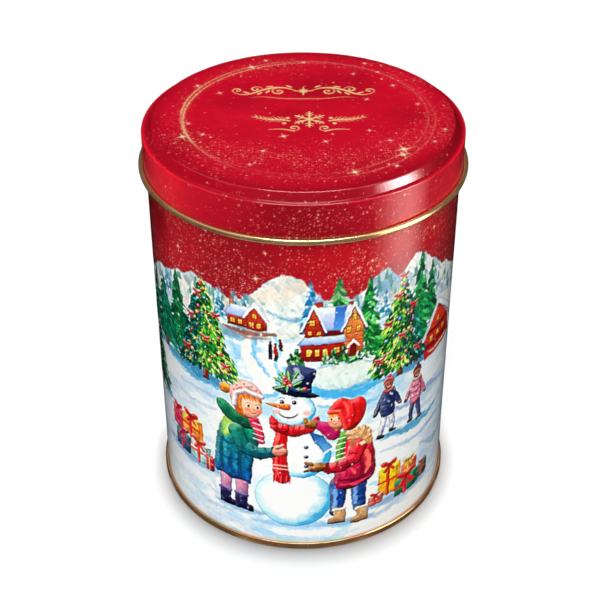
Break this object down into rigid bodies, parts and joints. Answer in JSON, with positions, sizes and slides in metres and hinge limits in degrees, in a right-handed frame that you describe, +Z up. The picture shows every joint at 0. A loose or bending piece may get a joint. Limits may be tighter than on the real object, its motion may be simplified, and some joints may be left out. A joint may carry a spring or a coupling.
{
  "type": "round cookie tin",
  "caption": "Tall round tinplate tin with a slip-on lid, a rolled hem and a printed snowy village scene, for cookies.",
  "frame": {"origin": "centre of the foot, on the surface the tin stands on", "axes": "+Z up along the tin's axis, the picture's middle faces -Y, +X to the viewer's right"},
  "size_m": [0.1398, 0.1398, 0.1854],
  "materials": {
    "lid_print": "gloss varnish over a deep red print with gold dust",
    "wall_print": "gloss varnish over a printed red sky and snowy village",
    "gold_lacquer": "gold lacquer over bright tinplate",
    "bare_tinplate": "bare welded tinplate under clear varnish",
    "compound": "matt lining compound"
  },
  "bodies": {
    "tin": {"body_wall": "wall_print", "mouth_curl": "gold_lacquer", "side_seam": "bare_tinplate", "bottom_end": "gold_lacquer", "bottom_rim": "gold_lacquer", "seam_compound": "compound"},
    "lid": {"lid_shell": "lid_print", "lid_hem": "gold_lacquer"}
  },
  "joints": [
    {"name": "lid_lift", "type": "slide", "parent": "tin", "child": "lid", "axis": [0, 0, 1], "range_m": [0, 0.06]}
  ]
}
